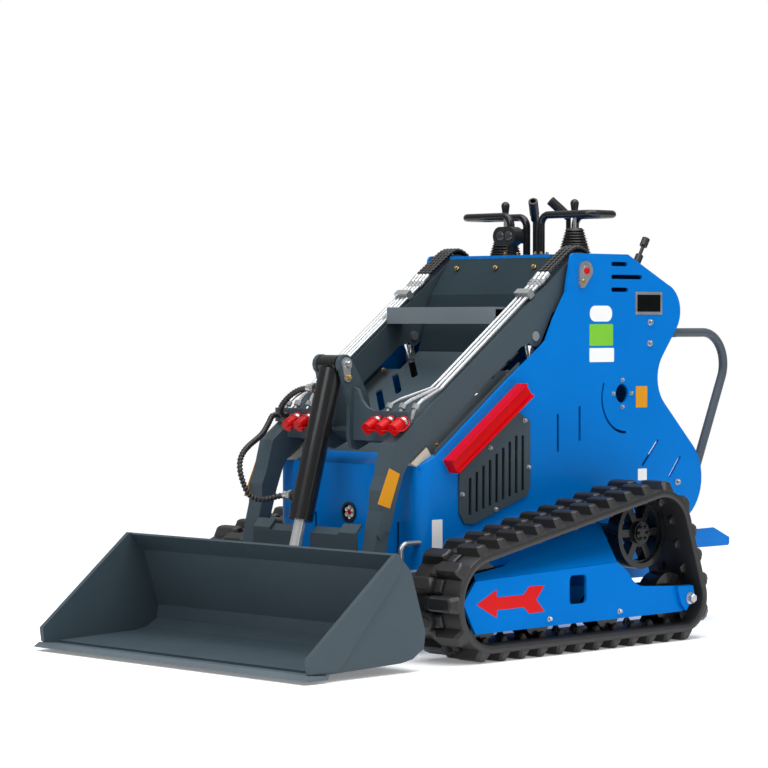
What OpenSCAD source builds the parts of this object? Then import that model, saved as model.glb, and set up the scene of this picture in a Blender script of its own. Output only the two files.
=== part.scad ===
// Stand-on mini loader on rubber tracks, with lift arms, bucket and fold-up platform
// X is forward, Y is to the machine's left, Z is up, millimetres

/* [Body] */
// width over the two side plates
body_w = 546; // [520:2:570]
// thickness of the side plates
plate_t = 8; // [6:1:10]
// thickness of the bent sheet covers
sheet_t = 4; // [3:0.5:6]
// height of the top edge of the body
body_h = 1040; // [1030:1:1060]

/* [Tracks] */
// width of one rubber track
track_w = 180; // [160:2:200]
// clear space between side plate and track
track_gap = 58; // [50:1:70]
// thickness of the rubber belt
belt_t = 22; // [18:1:26]
// height of the outside lugs
lug_h = 23; // [15:1:23]

/* [Lift arms] */
// width of one arm box
arm_w = 51; // [46:1:54]
// wall of the arm box
arm_wall = 6; // [5:0.5:8]
// diameter of the arm pivot pins
pivot_d = 40; // [30:1:44]
// outside diameter of the lift cylinder barrels
lift_d = 50; // [40:1:52]
// outside diameter of the tilt cylinder barrel
tilt_d = 64; // [56:1:68]

/* [Bucket] */
// width over the bucket's side plates
bucket_w = 1018; // [900:5:1050]
// thickness of the bucket shell
shell_t = 6; // [5:0.5:8]

/* [Rear] */
// diameter of the guard rail tubes
rail_d = 25; // [20:1:30]
// width of the stand-on platform
step_w = 450; // [420:5:450]

/* [Hidden] */
$fn = 48;
half = body_w / 2;
inner = half - plate_t;
track_in = half + track_gap;
track_out = track_in + track_w;
arm_out = inner - 11;
arm_in = arm_out - arm_w;
arm_mid = (arm_out + arm_in) / 2;
deck_half = arm_in - 13;
deck_z = body_h - 10;
deck_top = body_h - 2;
loop_z = deck_top + 112;
hitch_half = arm_out + 6;

// joint points in side view, forward and up
pivot = [-290, 994];
bucket_pin = [475, 140];
tilt_top = [389, 745];
rod_eye = [532, 240];
lift_top = [-113, 817];
lift_base = [-229, 297];
step_pin = [-640, 236];

// upper corners of the bent wall that faces the operator
rear_top = [-467, deck_z];
rear_bend = [-585, 960];

// track wheels in side view, centre and radius to the inside of the belt
wheel_rear = [-435, lug_h + belt_t + 68, 68];
wheel_front = [313, lug_h + belt_t + 105, 105];
wheel_drive = [-343, lug_h + belt_t + 245, 97];
wheels = [wheel_rear, wheel_front, wheel_drive];
link_count = 31;

blue = [0.0, 0.3, 0.65];
slate = [0.2, 0.24, 0.27];
black = [0.06, 0.06, 0.07];
red = [0.75, 0.04, 0.05];
zinc = [0.7, 0.7, 0.7];
beige = [0.75, 0.7, 0.6];

// points of an arc about c, from angle a to angle b
function arc(c, r, a, b, n) =
  [for (i = [0:n]) [c[0] + r * cos(a + (b - a) * i / n), c[1] + r * sin(a + (b - a) * i / n)]];

function angle_of(v) = atan2(v[1], v[0]);

// corner point moved to the left of the path by distance d
function side_point(p, i, d) =
  let (a = p[max(i - 1, 0)], b = p[i], c = p[min(i + 1, len(p) - 1)],
    u = i == 0 ? (c - b) / norm(c - b) : (b - a) / norm(b - a),
    v = i == len(p) - 1 ? u : (c - b) / norm(c - b),
    m = u + v, s = 2 / (m * m))
  b + d * s * [-m[1], m[0]];

// closed outline of a sheet of thickness t that follows an open path
function band(p, t) =
  concat(p, [for (i = [len(p) - 1:-1:0]) side_point(p, i, t)]);

// side view shape given depth t to the left of y0
module xz(y0, t) {
  translate([0, y0 + t, 0])
    rotate([90, 0, 0])
      linear_extrude(t)
        children();
}

// the same thing on both sides of the machine
module both() {
  children();
  mirror([0, 1, 0])
    children();
}

// round bar across the machine at side view point p
module pin(p, r, y0, y1) {
  translate([p[0], y0, p[1]])
    rotate([-90, 0, 0])
      cylinder(r = r, h = y1 - y0);
}

// round bar between two points
module bar(a, b, r) {
  d = b - a;
  translate(a)
    rotate([0, 0, atan2(d[1], d[0])])
      rotate([0, atan2(norm([d[0], d[1]]), d[2]), 0])
        cylinder(r = r, h = norm(d));
}

function unit(v) = v / norm(v);

// length of straight given up at corner i of a bent tube
function bend_cut(p, i, bend) =
  i == 0 || i == len(p) - 1 ? 0 :
  bend * tan(acos(unit(p[i] - p[i - 1]) * unit(p[i + 1] - p[i])) / 2);

// quarter of a ring, or less, that turns a tube from direction u to direction v at corner b
module elbow(b, u, v, r, bend) {
  turn = acos(u * v);
  w = unit(v - u * cos(turn));
  c = b - u * bend * tan(turn / 2) + w * bend;
  n = cross(-w, u);
  multmatrix([[-w[0], u[0], n[0], c[0]], [-w[1], u[1], n[1], c[1]], [-w[2], u[2], n[2], c[2]],
    [0, 0, 0, 1]])
    rotate_extrude(angle = turn)
      translate([bend, 0])
        circle(r = r);
}

// round tube along points with the same bend at each corner
module tube(p, r, bend) {
  for (i = [0:len(p) - 2])
    bar(p[i] + bend_cut(p, i, bend) * unit(p[i + 1] - p[i]),
      p[i + 1] - bend_cut(p, i + 1, bend) * unit(p[i + 1] - p[i]), r);
  for (i = [1:1:len(p) - 2])
    elbow(p[i], unit(p[i] - p[i - 1]), unit(p[i + 1] - p[i]), r, bend);
}

// direction along a route at point i
function heading(p, i) = unit(p[min(i + 1, len(p) - 1)] - p[max(i - 1, 0)]);

// side directions carried along a route without twist
function carry(p, i) =
  i == 0 ? unit(cross(heading(p, 0), [0.2, 0.3, 1])) :
  let (q = carry(p, i - 1), h = heading(p, i))
  unit(q - (q * h) * h);

// soft hose through the points of a route
module hose(p, r, sides) {
  n = len(p);
  pts = [for (i = [0:n - 1], k = [0:sides - 1])
    let (h = heading(p, i), q = carry(p, i), a = 360 * k / sides)
    p[i] + r * (cos(a) * q + sin(a) * cross(h, q))];
  walls = [for (i = [0:n - 2], k = [0:sides - 1])
    let (j = (k + 1) % sides)
    [i * sides + k, (i + 1) * sides + k, (i + 1) * sides + j, i * sides + j]];
  ends = [[for (k = [0:sides - 1]) k], [for (k = [sides - 1:-1:0]) (n - 1) * sides + k]];
  polyhedron(pts, concat(walls, ends));
}

// slot with round ends between two side view points
module slot2(a, b, w) {
  turn = angle_of(b - a);
  polygon(concat(arc(b, w / 2, turn - 90, turn + 90, 6), arc(a, w / 2, turn + 90, turn + 270, 6)));
}

// rear curves of the side plate: upper bulge, waist and lower bulge
bulge_top = [-612, 885, 78];
waist = [-693, 700, 100];
bulge_low = [-658, 418, 126];

function cross_tangent(a, b) =
  let (d = [b[0] - a[0], b[1] - a[1]])
  angle_of(d) + acos((a[2] + b[2]) / norm(d)) * (a[0] > b[0] ? -1 : 1);

t_up = cross_tangent(bulge_top, waist) + 360;
t_low = cross_tangent(waist, bulge_low);

plate_outline = concat(
  arc([-249, body_h - 15], 15, 0, 90, 4),
  [[-467, body_h]],
  arc(bulge_top, 78, 107, t_up, 10),
  arc(waist, 100, t_up - 180, t_low, 10),
  arc(bulge_low, 126, t_low + 180, 236, 12),
  [[-640, 150], [276, 150], [276, 513], [23, 695], [-118, 790], [-137, 805],
   [-167, 863], [-215, 934], [-220, 962]]);

// slots in the side plates, both ends and width
plate_slots = [
  [[-404, body_h - 27], [-459, body_h - 27], 12],
  [[-404, body_h - 62], [-521, body_h - 62], 12],
  [[-404, body_h - 97], [-462, body_h - 97], 12],
  [[-183, 510], [-183, 605], 9],
  [[-270, 537], [-270, 624], 9],
  [[-593, 524], [-531, 460], 9],
  [[-688, 475], [-646, 425], 9]];

// curved slot beside the round hole
arc_mid = [-457, 649];
arc_slot = concat(arc(arc_mid, 100, 24, -92, 14), arc(arc_mid, 93, -92, 24, 14));

module side_plate() {
  difference() {
    xz(inner, plate_t)
      difference() {
        polygon(plate_outline);
        for (s = plate_slots)
          slot2(s[0], s[1], s[2]);
        polygon(arc_slot);
        translate([-443, 659])
          circle(r = 26);
        polygon([[-26, 612], [-64, 589], [-64, 424], [-54, 402], [146, 337], [174, 340],
          [193, 364], [193, 456]]);
      }
    pin(pivot, pivot_d / 2, inner - 5, half + 5);
    pin(lift_base, 14, inner - 5, half + 5);
  }
}

module side_plate_left() {
  color(blue)
    side_plate();
}

module side_plate_right() {
  color(blue)
    mirror([0, 1, 0])
      side_plate();
}

// floor, cross beams under it and the brackets of the fold-up platform
module belly_frame() {
  color(blue) {
    translate([-600, -inner, 150])
      cube([870, 2 * inner, 10]);
    for (x = [-300, 170])
      translate([x, -track_in - 14, 92])
        cube([70, 2 * track_in + 28, 58]);
    both()
      difference() {
        xz(170, 12)
          polygon([[-665, 215], [-612, 150], [-566, 150], [-566, 190], [-610, 262], [-655, 262]]);
        pin(step_pin, 10, 160, 190);
      }
  }
}

nose_r = 36;
nose_x = 336;

module nose_shape(x0, cut) {
  r = nose_r - cut;
  translate([x0, -half + nose_r])
    square([nose_x - cut - x0, body_w - 2 * nose_r]);
  translate([x0, -half + cut])
    square([nose_x - nose_r - x0, body_w - 2 * cut]);
  for (s = [-1, 1])
    intersection() {
      translate([nose_x - nose_r, s * (half - nose_r)])
        circle(r = r);
      translate([nose_x - nose_r, -half])
        square([nose_r, body_w]);
    }
}

// front wall with round corners and a sloped top
module nose_panel() {
  color(blue)
    difference() {
      intersection() {
        union() {
          translate([0, 0, 150])
            linear_extrude(380)
              difference() {
                nose_shape(276, 0);
                nose_shape(270, 6);
              }
          xz(-inner, 2 * inner)
            polygon([[276, 513], [276, 507], [330, 477], [330, 484]]);
        }
        xz(-half, body_w)
          polygon([[276, 150], [340, 150], [340, 482], [276, 513]]);
      }
      for (y = [-205, -121, 141, 189])
        translate([300, y - 4, abs(y) > 150 ? 262 : 292])
          cube([60, 8, abs(y) > 150 ? 77 : 60]);
      translate([300, 8, 357])
        rotate([0, 90, 0])
          cylinder(r = 27, h = 60);
    }
}

// sloped engine cover between the side plates
module hood_cover() {
  color(slate)
    difference() {
      union() {
        xz(-inner, 2 * inner)
          polygon(band([[276, 497], [23, 679], [-45, 725]], sheet_t));
        xz(-deck_half, 2 * deck_half)
          polygon(band([[-45, 725], [-118, 774]], sheet_t));
        both()
          xz(inner - 5, 5)
            polygon([[276, 499], [276, 525], [1, 720], [-40, 748], [-40, 724], [23, 681]]);
      }
      both()
        for (x = [42, -20, -82])
          translate([0, 0, 550])
            linear_extrude(250)
              slot2([x, 183], [x + 61, 108], 17);
    }
}

// upright panel in front of the controls
module dash_panel() {
  color(slate)
    difference() {
      xz(-deck_half, 2 * deck_half)
        polygon(band([[-117, 775], [-168, 930], [-243, deck_z]], sheet_t));
      for (y = [60, 130])
        translate([-200, y, 840])
          rotate([20, 0, 0])
            cube([80, 8, 45]);
    }
}

// top plate that carries the controls
module control_deck() {
  color(blue) {
    translate([-360, -deck_half, deck_z])
      cube([117, 2 * deck_half, 8]);
    translate([-467, -inner, deck_z])
      cube([107, 2 * inner, 8]);
  }
}

// bent wall that faces the operator
module rear_panel() {
  color(blue)
    xz(-inner, 2 * inner)
      polygon(band([rear_top, rear_bend, [-600, 880], [-560, 740], [-560, 160]], -sheet_t));
}

// engine, pumps and tanks as one heavy block
module engine_block() {
  color(black)
    translate([-520, -150, 160])
      cube([640, 300, 330]);
}

// slotted side vents with their rims
module vent_panels() {
  color(slate)
    both()
      xz(half, 5)
        difference() {
          polygon([[-24, 617], [-69, 592], [-69, 419], [-56, 395], [150, 329], [181, 333],
            [200, 360], [200, 461]]);
          for (i = [0:8])
            translate([-45 + 25 * i, 410 - 7 * i])
              square([10, 160 - 8 * i - (i < 1 ? 15 : 0)]);
        }
}

// red channel that props the raised arms, kept on the side plate
module arm_lock_strut() {
  color(red)
    difference() {
      xz(half, 30)
        polygon([[-23, 693], [-51, 660], [233, 466], [256, 499]]);
      xz(half - 1, 27)
        polygon([[-25, 689], [-47, 663], [232, 471], [251, 497]]);
    }
}

// blocks under the lowered arms
module arm_rest_pads() {
  color(beige)
    both()
      xz(arm_in, arm_w)
        polygon([[280, 511.07], [334, 484.91], [352, 493], [296, 532.5]]);
}

// round lamp in the front wall
module front_lamp() {
  color(black)
    translate([320, 8, 357])
      rotate([0, 90, 0])
        difference() {
          cylinder(r = 26.9, h = 20);
          translate([0, 0, 12])
            cylinder(r = 21, h = 20);
        }
}

// twin lamp on a bracket behind the dash
module work_lamp() {
  color(black) {
    translate([-318, -19, deck_top])
      cube([14, 14, 32]);
    translate([-308, -12, deck_top + 54])
      rotate([0, 90, 0])
        difference() {
          union() {
            for (y = [-16, 16])
              translate([0, y, 0])
                cylinder(r = 26, h = 35);
            translate([-26, -16, 0])
              cube([52, 32, 35]);
            for (z = [-20, -12, -4])
              translate([-20, -34, z])
                cube([40, 68, 4]);
            translate([-14, -20, -22])
              cube([28, 40, 24]);
          }
          for (y = [-16, 16])
            translate([0, y, 27])
              cylinder(r = 15, h = 20);
        }
  }
}

// looped tubes beside the levers, each on one post
module hand_loops() {
  color(black)
    both()
      tube([[-350, 57, deck_top], [-350, 57, loop_z], [-350, 244, loop_z], [-452, 244, loop_z],
        [-452, 92, loop_z], [-452, 92, deck_top]], 10.5, 28);
}

// two central levers with open grips
module drive_levers() {
  color(black)
    both()
      difference() {
        union() {
          bar([-456, 63, deck_top], [-456, 63, loop_z], 7);
          bar([-459, 66, loop_z - 6], [-421, 38, loop_z + 36], 12);
        }
        bar([-440, 52, loop_z + 15], [-402, 24, loop_z + 57], 8);
      }
}

// left and right joysticks with ribbed boots
module joysticks() {
  color(black)
    for (y = [-131, 131])
      translate([-406, y, deck_top]) {
        for (i = [0:9])
          translate([0, 0, 7.6 * i])
            cylinder(r1 = 48 - 2.2 * i, r2 = 40 - 2.2 * i, h = 7.6);
        cylinder(r = 5, h = 125);
        translate([0, 0, 116])
          cylinder(r1 = 8, r2 = 12, h = 28);
        translate([0, 0, 144])
          sphere(r = 12);
      }
}

// short throttle lever on the bent wall, beside the left side plate
module throttle_lever() {
  d = unit(rear_bend - rear_top);
  up = [d[1], -d[0]];
  foot = rear_top + 60 * d + sheet_t * up;
  color(black)
    translate([foot[0], inner - 15, foot[1]])
      along([0, 0], angle_of(up))
        rotate([0, 90, 0]) {
          cylinder(r = 11, h = 42);
          cylinder(r = 5, h = 76);
          translate([0, 0, 72])
            cylinder(r = 11, h = 24);
        }
}

// bent tubes each side of the operator
module guard_rails() {
  color(slate)
    both()
      {
        tube([[-640, inner - 17.5, 825], [-958, inner - 17.5, 825], [-770, inner - 17.5, 400]],
          rail_d / 2, 90);
        xz(inner - 18, 18)
          translate([-680, 812])
            square([50, 26]);
        xz(inner - 18, 18)
          translate([-780, 405])
            square([30, 40]);
      }
}

// round bar hooks on the front corners
module tie_down_hooks() {
  color(zinc)
    both()
      difference() {
        tube([[296, half - 16, 289], [392, half - 16, 289], [392, half - 16, 214],
          [296, half - 16, 214]], 7, 20);
        translate([0, 0, 180])
          linear_extrude(150)
            nose_shape(270, 0);
      }
}

// blank plate on each side plate
module data_plate() {
  color(zinc)
    both()
      xz(half, 1.5)
        translate([-610, 875])
          square([113, 63]);
}

// fixed pins of the arms, the lift cylinders and the platform
module chassis_pins() {
  color(zinc)
    both() {
      pin(pivot, pivot_d / 2, arm_in - 4, half);
      xz(half, 6)
        polygon(concat(arc(pivot, 26, 10, 215, 10), arc(pivot + [14, -34], 14, 215, 370, 8)));
      pin(lift_base, 14, arm_in - 4, half);
      pin(lift_base, 24, half, half + 5);
      pin(step_pin, 10, 168, 198);
    }
}

// straight run that leaves wheel a for wheel b, as the angle of its outward normal
function leave(a, b) =
  let (d = [b[0] - a[0], b[1] - a[1]])
  angle_of(d) - acos((a[2] - b[2]) / norm(d));

function unwind(a, b) = a < b ? a : unwind(a - 360, b);

a_in = [leave(wheels[2], wheels[0]), leave(wheels[0], wheels[1]), leave(wheels[1], wheels[2])];
a_out = [for (i = [0:2]) let (o = leave(wheels[i], wheels[(i + 1) % 3])) o];
a_from = [for (i = [0:2]) unwind(a_in[i], a_out[i])];

function at(w, r, a) = [w[0] + r * cos(a), w[1] + r * sin(a)];

arc_len = [for (i = [0:2]) (a_out[i] - a_from[i]) * PI / 180 * wheels[i][2]];
run_len = [for (i = [0:2])
  norm(at(wheels[(i + 1) % 3], wheels[(i + 1) % 3][2], a_out[i]) - at(wheels[i], wheels[i][2],
    a_out[i]))];
loop_len = arc_len[0] + arc_len[1] + arc_len[2] + run_len[0] + run_len[1] + run_len[2];
pitch = loop_len / link_count;

// point on the track at length s along its inside, moved out by h
function walk(s, h, i) =
  s <= arc_len[i] ?
    at(wheels[i], wheels[i][2] + h, a_from[i] + s / wheels[i][2] * 180 / PI) :
  s <= arc_len[i] + run_len[i] ?
    let (k = (s - arc_len[i]) / run_len[i])
    (1 - k) * at(wheels[i], wheels[i][2] + h, a_out[i])
    + k * at(wheels[(i + 1) % 3], wheels[(i + 1) % 3][2] + h, a_out[i]) :
  walk(s - arc_len[i] - run_len[i], h, (i + 1) % 3);

// outline of the belt with lugs, each row of steps is part of a pitch and lug share
lug_steps = [[0, 0], [0.09, 1], [0.43, 1], [0.52, 0]];
guide_steps = [[0, 0], [0.08, 1], [0.3, 1], [0.38, 0]];
plain_steps = [[0, 0], [0.25, 0], [0.5, 0], [0.75, 0]];

function belt_line(steps, base, height, shift) =
  [for (k = [0:link_count - 1], q = steps)
    walk(((k + q[0] + shift) % link_count) * pitch, base + q[1] * height, 0)];

module track_ring(outer, inside, y0, t) {
  xz(y0, t)
    difference() {
      polygon(outer);
      polygon(inside);
    }
}

module track() {
  plain = belt_line(plain_steps, 0, 0, 0);
  toothed = belt_line(guide_steps, 0, -15, 0);
  track_ring(belt_line(lug_steps, belt_t, lug_h, 0), plain, track_in, track_w / 2);
  track_ring(belt_line(lug_steps, belt_t, lug_h, 0.5), plain, track_in + track_w / 2, track_w / 2);
  for (y = [0.24, 0.68])
    track_ring(belt_line(plain_steps, belt_t / 2, 0, 0), toothed, track_in + y * track_w, 0.08 * track_w);
}

module track_left() {
  color(black)
    track();
}

module track_right() {
  color(black)
    mirror([0, 1, 0])
      track();
}

// wheel space between the two rows of guide lugs
wheel_y0 = track_in + 0.34 * track_w;
wheel_y1 = track_in + 0.66 * track_w;

drive_face = track_in + 0.56 * track_w;

module drive_sprockets() {
  color(black)
    both()
      difference() {
        union() {
          pin(wheel_drive, wheel_drive[2] - 0.5, wheel_y0, drive_face);
          pin(wheel_drive, 24, wheel_y0, drive_face + 4);
        }
        difference() {
          pin(wheel_drive, 82, drive_face - 10, drive_face + 1);
          pin(wheel_drive, 30, drive_face - 11, drive_face + 5);
        }
        pin(wheel_drive, 20.05, wheel_y0 - 1, drive_face - 4);
        for (a = [0:60:300])
          xz(wheel_y0 - 1, drive_face - wheel_y0 + 2)
            polygon(concat(arc([wheel_drive[0], wheel_drive[1]], 76, a + 8, a + 52, 6),
              arc([wheel_drive[0], wheel_drive[1]], 38, a + 45, a + 15, 4)));
      }
}

module front_idlers() {
  color(black)
    both()
      difference() {
        pin(wheel_front, wheel_front[2] - 0.5, wheel_y0, wheel_y1);
        pin(wheel_front, 15.05, wheel_y0 - 1, wheel_y1 + 1);
      }
}

module rear_idlers() {
  color(black)
    both()
      difference() {
        pin(wheel_rear, wheel_rear[2] - 0.9, wheel_y0, wheel_y1);
        pin(wheel_rear, 15.05, wheel_y0 - 1, wheel_y1 + 1);
      }
}

roller_x = [-183, 89];
roller_r = 49;
roller_z = lug_h + belt_t + roller_r + 0.5;

module track_rollers() {
  color(black)
    both()
      for (x = roller_x)
        difference() {
          pin([x, roller_z], roller_r, wheel_y0, wheel_y1);
          pin([x, roller_z], 10.05, wheel_y0 - 1, wheel_y1 + 1);
        }
}

frame_in = track_in + 14;
frame_out = track_out - 21;

module wheel_axles() {
  color(zinc)
    both() {
      pin(wheel_front, 15, frame_in, frame_out - 8);
      pin(wheel_rear, 15, frame_in, frame_out - 8);
      pin(wheel_drive, 20, half, drive_face - 5);
      for (x = roller_x)
        pin([x, roller_z], 10, frame_in, frame_out - 8);
    }
}

// side view of a track frame in two runs, down its rear edge and along its lower edge
frame_tail = concat(arc([-290, 232], 78, -28, -88, 8), [[-414, 147], [-476, 146], [-480, 100]]);
frame_belly = [[-439, 77], [123, 75], [360, 73]];

// top of the sloped roof at side view place x and distance y from the middle
function roof(x, y) = [x, y, 206 + (362 - x) * 0.035 + (frame_out - y) * 0.703];

// flat plate with its top corners at the points p and thickness t under them
module slab(p, t) {
  e = unit(p[1] - p[0]);
  n = unit(cross(e, p[2] - p[0]));
  f = cross(n, e);
  multmatrix([[e[0], f[0], n[0], p[0][0]], [e[1], f[1], n[1], p[0][1]], [e[2], f[2], n[2],
    p[0][2]], [0, 0, 0, 1]])
    translate([0, 0, -t])
      linear_extrude(t)
        polygon([for (q = p) [(q - p[0]) * e, (q - p[0]) * f]]);
}

module track_frame() {
  difference() {
    union() {
      xz(frame_out - 8, 8)
        difference() {
          polygon(concat(frame_tail, frame_belly, [[404, 154], [360, 206], [-178, 224]]));
          polygon(concat(arc([-2, 188], 12, 0, 90, 4), arc([-44, 188], 12, 90, 180, 4),
            arc([-44, 137], 12, 180, 270, 4), arc([-2, 137], 12, 270, 360, 4)));
        }
      xz(frame_in, 8)
        polygon(concat(frame_tail, frame_belly, [[404, 154], [360, 206], [60, 230], [-170, 311],
          [-252, 314], [-258, 290]]));
      slab([roof(358, frame_out - 1), roof(-176, frame_out - 1), roof(-256, frame_in + 8),
        roof(-232, frame_in + 8),
        roof(185, wheel_y1 - 8), roof(222, wheel_y1 + 6), roof(345, frame_out - 22)], 6);
      for (x = [-120, 170])
        xz(frame_in, frame_out - frame_in)
          translate([x, 160])
            square([8, 46]);
      xz(frame_out, 10)
        polygon([[-410, 146], [-474, 145], [-481, 119], [-446, 79], [-425, 100]]);
    }
    pin(wheel_front, 15.05, frame_in - 1, frame_out - 8);
    pin(wheel_rear, 15.05, frame_in - 1, frame_out - 8);
    for (x = roller_x)
      pin([x, roller_z], 10.05, frame_in - 1, frame_out - 8);
  }
}

module track_frame_left() {
  color(blue)
    track_frame();
}

module track_frame_right() {
  color(blue)
    mirror([0, 1, 0])
      track_frame();
}

// side view of one lift arm: along its lower edge, then up the front of the leg and along the top
arm_under = [[-184, 880], [-62, 791], [17, 735], [301, 538], [357, 498], [378, 470], [401, 412],
  [427, 328], [439, 262]];
arm_over = [[484, 271], [455, 375], [453, 427], [437, 463], [415, 542], [-250, 1019]];
lift_ear = concat([[-178, 875]], arc(lift_top, 28, 205, 320, 8), [[-58, 788], [-100, 840]]);
arm_outline = concat(arc(pivot, 50, 62, 285, 14), arm_under, [[441, 150]],
  arc(bucket_pin, 34, 165, 360, 10),
  [[509, 200]], arm_over);

// inside of the arm box, one wall in from the edges
arm_inside = concat([for (i = [0:len(arm_under) - 2]) side_point(arm_under, i, arm_wall)],
  [for (i = [1:len(arm_over) - 2]) side_point(arm_over, i, arm_wall)], [[-205, 972], [-222, 945]]);

module arm() {
  difference() {
    xz(arm_in, arm_w) {
      polygon(arm_outline);
      polygon(lift_ear);
    }
    xz(arm_in + arm_wall, arm_w - 2 * arm_wall) {
      polygon(arm_inside);
      polygon([[-212, 880], [-150, 780], [-70, 780], [-50, 800], [-80, 850], [-150, 900], [-190, 900]]);
    }
    pin(pivot, pivot_d / 2 + 0.05, arm_in - 1, arm_out + 1);
    pin(bucket_pin, 15, arm_in - 1, arm_out + 1);
    pin(lift_top, 13, arm_in - 1, arm_out + 1);
    for (y = [arm_in - 1, arm_out - 4])
      xz(y, 5)
        polygon([[420, 322], [442, 322], [462, 302], [476, 322], [530, 322], [530, 90], [420, 90]]);
  }
}

module arm_left() {
  color(slate)
    arm();
}

module arm_right() {
  color(slate)
    mirror([0, 1, 0])
      arm();
}

module arm_cross_tube() {
  color(slate)
    difference() {
      translate([-68, -arm_in, 850])
        cube([60, 2 * arm_in, 45]);
      translate([-62, -arm_in - 1, 856])
        cube([48, 2 * arm_in + 2, 33]);
    }
}

// plate between the knees with the ears of the tilt cylinder
module arm_cross_plate() {
  color(slate)
    difference() {
      union() {
        xz(-arm_in, 2 * arm_in)
          polygon([[300, 580], [362, 580], [362, 572], [312, 540], [300, 540]]);
        both()
          translate([352, 0, 0])
            rotate([90, 0, 90])
              linear_extrude(10)
                polygon([[tilt_d / 2 + 10, 548], [arm_in, 548], [arm_in, 589], [arm_out - 2, 589],
                  [arm_out - 2, 626], [124, 626], [100, 634], [80, 652], [66, 680], [tilt_d / 2 + 10, 690]]);
        both()
          xz(tilt_d / 2 + 6, 12)
            polygon(concat(arc(tilt_top, 26, -55, 160, 8), [[308, 668], [293, 600], [300, 540],
              [345, 522], [368, 530], [376, 560], [374, 640]]));
      }
      pin(tilt_top, 12.5, -100, 100);
    }
}

// pivot pins of the arms, the tilt barrel's pin and the bucket pins
module arm_pins() {
  color(zinc) {
    both() {
      pin(bucket_pin, 15, arm_in - 30, arm_out);
      for (y = [arm_in - 4, arm_out - arm_wall])
        pin(lift_top, 13, y, y + arm_wall + 4);
      xz(tilt_d / 2 + 18, 5)
        polygon(concat(arc(tilt_top, 18, 15, 225, 10), arc(tilt_top + [-5, -34], 12, 225, 375, 8)));
    }
    pin(tilt_top, 12.5, -tilt_d / 2 - 22, tilt_d / 2 + 22);
  }
}

// height of the arm's top edge
function arm_top(x) = 542 + (415 - x) * tan(arm_slope);

arm_slope = atan((pivot[1] + 50 * sin(54) - 542) / (415 - pivot[0] - 50 * cos(54)));

// sideways places of the steel lines on the arms, and where they meet the cross plate
line_y = [-arm_mid - 20, -arm_mid - 7, -arm_mid + 7, -arm_mid + 20, arm_mid - 16, arm_mid, arm_mid + 16];
line_end = [-arm_mid - 14, -arm_mid + 24, -arm_mid + 70, -arm_mid + 116, arm_mid - 82,
  arm_mid - 34, arm_mid + 14];
line_over = 10;

// steel lines on top of the arms
module steel_lines() {
  color(zinc)
    for (i = [0:len(line_y) - 1])
      let (y = line_y[i], e = line_end[i])
        hose([[-150, y, arm_top(-150) + line_over], [210, y, arm_top(210) + line_over],
          [235, 0.95 * y + 0.05 * e, arm_top(235) + line_over - 1], [300, 0.25 * y + 0.75 * e, 654],
          [322, e, 639], [333, e, 622], [341, e, 606], [352, e, 606]], 5, 10);
}

// blocks that hold the steel lines
module line_clamps() {
  color(black)
    difference() {
      both()
        translate([-112, arm_in, arm_top(-112)])
          rotate([0, arm_slope, 0])
            cube([20, arm_w, 22]);
      for (y = line_y)
        bar([-190, y, arm_top(-190) + line_over], [210, y, arm_top(210) + line_over], 5);
    }
}

// red capped oil couplers on the cross plate
module quick_couplers() {
  color(red)
    for (y = [arm_mid - 82, arm_mid - 34, arm_mid + 14, -arm_mid + 70, -arm_mid + 116])
      difference() {
        translate([358, y, 606])
          rotate([0, 118, 0]) {
            cylinder(r = 10, h = 30);
            translate([0, 0, 22])
              cylinder(r = 16, h = 34);
          }
        translate([312, y - 30, 560])
          cube([50, 60, 80]);
      }
}

// side view route of the arm hoses, from the steel lines over the pivot into the body
arm_hose = [[-150, arm_top(-150) + line_over], [-180, 990], [-210, 1011], [-240, 1032], [-265, 1048],
  [-290, 1056], [-315, 1050], [-335, 1035], [-347, 1010], [-350, 980], [-350, 940]];

// hoses that lead the steel lines into the body
module arm_hoses() {
  color(black)
    for (y = line_y)
      hose([for (q = arm_hose) [q[0], y, q[1]]], y < 0 ? 6.4 : 7.6, 8);
}

// routes of the tilt cylinder's two hoses, from the barrel to the cross plate
low_hose = [[490, -52, 405], [490, -70, 405], [496, -92, 401], [508, -112, 395], [522, -130, 392],
  [538, -143, 397], [553, -150, 412], [564, -154, 437], [570, -159, 468], [564, -165, 494],
  [546, -172, 515], [516, -182, 532], [482, -193, 546], [448, -206, 561], [415, -222, 583],
  [386, -235, 605], [362, -235, 605]];
high_hose = [[407, -52, 682], [407, -68, 682], [408, -100, 678], [409, -130, 667], [408, -158, 650],
  [403, -182, 632], [392, -198, 617], [377, -205, 608], [362, -205, 608]];

// two hoses of the tilt cylinder
module tilt_hoses() {
  color(black) {
    hose(low_hose, 7, 10);
    hose(high_hose, 7, 10);
  }
}

tilt_dir = rod_eye - tilt_top;
tilt_len = norm(tilt_dir);
tilt_turn = angle_of(tilt_dir);

// place things that lie along local X from side view point p at angle a
module along(p, a) {
  translate([p[0], 0, p[1]])
    rotate([0, -a, 0])
      children();
}

module tilt_barrel() {
  color(black)
    along(tilt_top, tilt_turn)
      difference() {
        union() {
          rotate([-90, 0, 0])
            translate([0, 0, -tilt_d / 2])
              cylinder(r = 24, h = tilt_d);
          rotate([0, 90, 0])
            translate([0, 0, 15])
              cylinder(d = tilt_d, h = 403);
          for (x = [65, 354])
            translate([x, 0, 0])
              rotate([90, 0, 0])
                cylinder(r = 11, h = 52);
        }
        rotate([-90, 0, 0])
          translate([0, 0, -50])
            cylinder(r = 12.55, h = 100);
        rotate([0, 90, 0])
          translate([0, 0, 60])
            cylinder(r = tilt_d / 2 - 8, h = 330);
        rotate([0, 90, 0])
          translate([0, 0, 380])
            cylinder(r = 16.05, h = 60);
      }
}

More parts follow.
